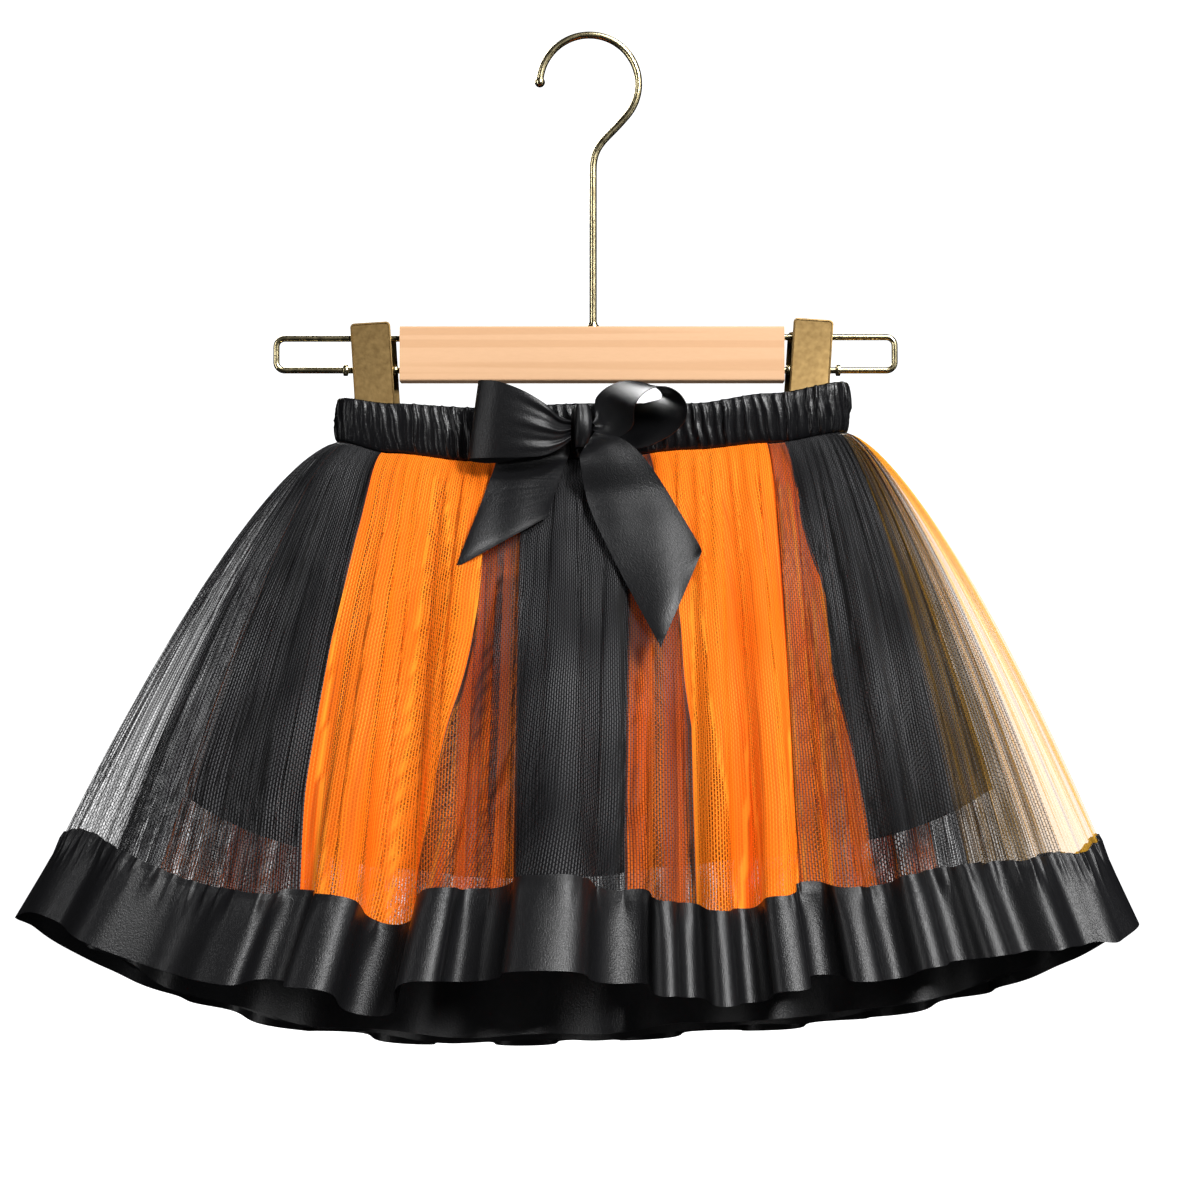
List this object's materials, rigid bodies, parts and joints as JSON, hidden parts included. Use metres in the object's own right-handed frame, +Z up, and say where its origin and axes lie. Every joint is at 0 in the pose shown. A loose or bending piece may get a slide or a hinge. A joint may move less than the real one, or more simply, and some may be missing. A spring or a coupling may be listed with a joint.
{
  "type": "witch costume tutu skirt on a clip hanger",
  "caption": "Child's witch costume tutu skirt of black and orange net with satin hem ribbons, a gathered elastic waistband and a ribbon bow, hung on a wooden clip hanger.",
  "frame": {"origin": "inside top of the hanger's hook, where it hangs on a rail or a wall hook", "axes": "+X to the right as seen from the front, +Y to the back, +Z up"},
  "size_m": [0.5021, 0.1693, 0.4868],
  "materials": {
    "net_black": "sheer knitted net with a slight shine",
    "net_orange": "sheer knitted net with a slight shine",
    "satin_black": "glossy satin",
    "lining_black": "dull woven lining",
    "wood": "fine sanded, clear satin lacquer",
    "brass_wire": "polished pale brass plating",
    "brass_clip": "brushed antique brass plating"
  },
  "bodies": {
    "root": {"bar": "wood", "bow_knot": "satin_black", "bow_loop_left": "satin_black", "bow_loop_right": "satin_black", "bow_tail_left": "satin_black", "bow_tail_right": "satin_black", "clip_left_back": "brass_clip", "clip_left_front": "brass_clip", "clip_right_back": "brass_clip", "clip_right_front": "brass_clip", "hem_ribbon_inner": "satin_black", "hem_ribbon_outer": "satin_black", "hook": "brass_wire", "inner_net_black_back": "net_black", "inner_net_black_back_right": "net_black", "inner_net_black_front": "net_black", "inner_net_black_left": "net_black", "inner_net_black_right": "net_black", "inner_net_orange_back_left": "net_orange", "inner_net_orange_back_right": "net_orange", "inner_net_orange_front_left": "net_orange", "inner_net_orange_front_right": "net_orange", "inner_net_orange_right": "net_orange", "lining": "lining_black", "outer_net_black_back": "net_black", "outer_net_black_back_right": "net_black", "outer_net_black_front": "net_black", "outer_net_black_left": "net_black", "outer_net_black_right": "net_black", "outer_net_orange_back_left": "net_orange", "outer_net_orange_back_right": "net_orange", "outer_net_orange_front_left": "net_orange", "outer_net_orange_front_right": "net_orange", "outer_net_orange_right": "net_orange", "waistband": "satin_black", "wire_loop_left": "brass_wire", "wire_loop_right": "brass_wire"}
  },
  "joints": []
}
